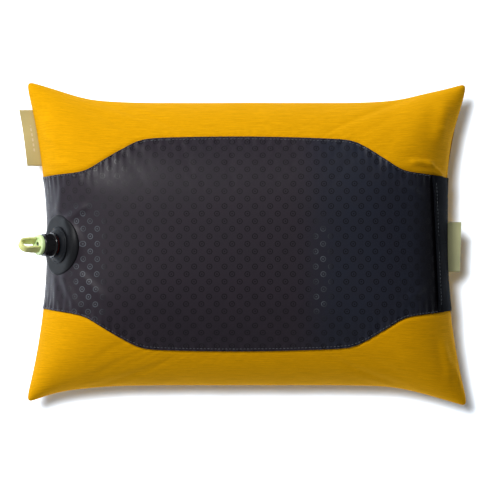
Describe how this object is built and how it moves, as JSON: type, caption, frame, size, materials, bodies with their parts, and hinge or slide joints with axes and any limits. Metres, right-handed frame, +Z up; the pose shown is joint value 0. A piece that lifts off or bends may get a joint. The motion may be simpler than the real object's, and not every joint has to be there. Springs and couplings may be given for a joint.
{
  "type": "inflatable camp pillow",
  "caption": "Inflatable camp pillow lying face down: mustard cover, charcoal back panel with an envelope opening, side labels and an air valve with a pull loop.",
  "frame": {"origin": "on the ground, at the middle of the pillow and of its flattened sleeping face", "axes": "+X along the pillow's length away from the valve, +Y across it, +Z up out of the dark back face"},
  "size_m": [0.3916, 0.271, 0.1001],
  "materials": {
    "mustard_fabric": "soft brushed polyester weave",
    "charcoal_fabric": "smooth coated polyester with a slight sheen",
    "seam_thread": "sewing thread",
    "label_ribbon": "woven ribbon",
    "core_film": "laminated film on knit",
    "core_foam": "open-cell foam",
    "black_rubber": "satin",
    "red_silicone": "satin",
    "black_plastic": "polished",
    "lime_plastic": "satin",
    "lime_strap": "soft ribbed strap"
  },
  "bodies": {
    "pillow": {"cover_front_panel": "mustard_fabric", "cover_wing_upper": "mustard_fabric", "cover_wing_lower": "mustard_fabric", "cover_back_panel": "charcoal_fabric", "cover_seam_binding": "mustard_fabric", "topstitch_upper": "seam_thread", "topstitch_lower": "seam_thread", "core_shell_front": "core_film", "core_shell_back": "core_film", "foam_core": "core_foam", "valve_patch": "charcoal_fabric", "valve_weld_flange": "black_rubber", "valve_collar": "black_rubber", "valve_seal_ring": "red_silicone", "valve_barrel": "black_plastic", "valve_centre_post": "black_plastic"},
    "opening_flap": {"cover_opening_flap": "charcoal_fabric", "flap_hem_stitch": "seam_thread"},
    "valve_cap": {"valve_pull_cap": "lime_plastic", "valve_cap_o_ring": "black_rubber"},
    "pull_loop": {"valve_pull_loop": "lime_strap"},
    "left_label": {"label_tab_left": "label_ribbon"},
    "right_label": {"label_tab_right": "label_ribbon"}
  },
  "joints": [
    {"name": "flap_lift", "type": "hinge", "parent": "pillow", "child": "opening_flap", "pos_m": [0.177, 0, 0.0498], "axis": [0, 1, 0], "range_deg": [0, 35], "stiffness_Nm_per_rad": 0.0005},
    {"name": "cap_pull", "type": "slide", "parent": "pillow", "child": "valve_cap", "axis": [-0.829, 0, 0.5592], "range_m": [0, 0.004]},
    {"name": "loop_swing", "type": "hinge", "parent": "valve_cap", "child": "pull_loop", "pos_m": [-0.18105, -0.0009, 0.08568], "axis": [-0.3814, 0.7314, -0.5654], "range_deg": [-45, 45], "stiffness_Nm_per_rad": 0.0003},
    {"name": "left_label_fold", "type": "hinge", "parent": "pillow", "child": "left_label", "pos_m": [-0.18519, 0.0915, 0.048], "axis": [-0.1862, 0.9825, 0], "range_deg": [-60, 60], "stiffness_Nm_per_rad": 0.0002},
    {"name": "right_label_fold", "type": "hinge", "parent": "pillow", "child": "right_label", "pos_m": [0.17638, -0.0032, 0.048], "axis": [0.0066, -1, 0], "range_deg": [-60, 60], "stiffness_Nm_per_rad": 0.0002}
  ]
}
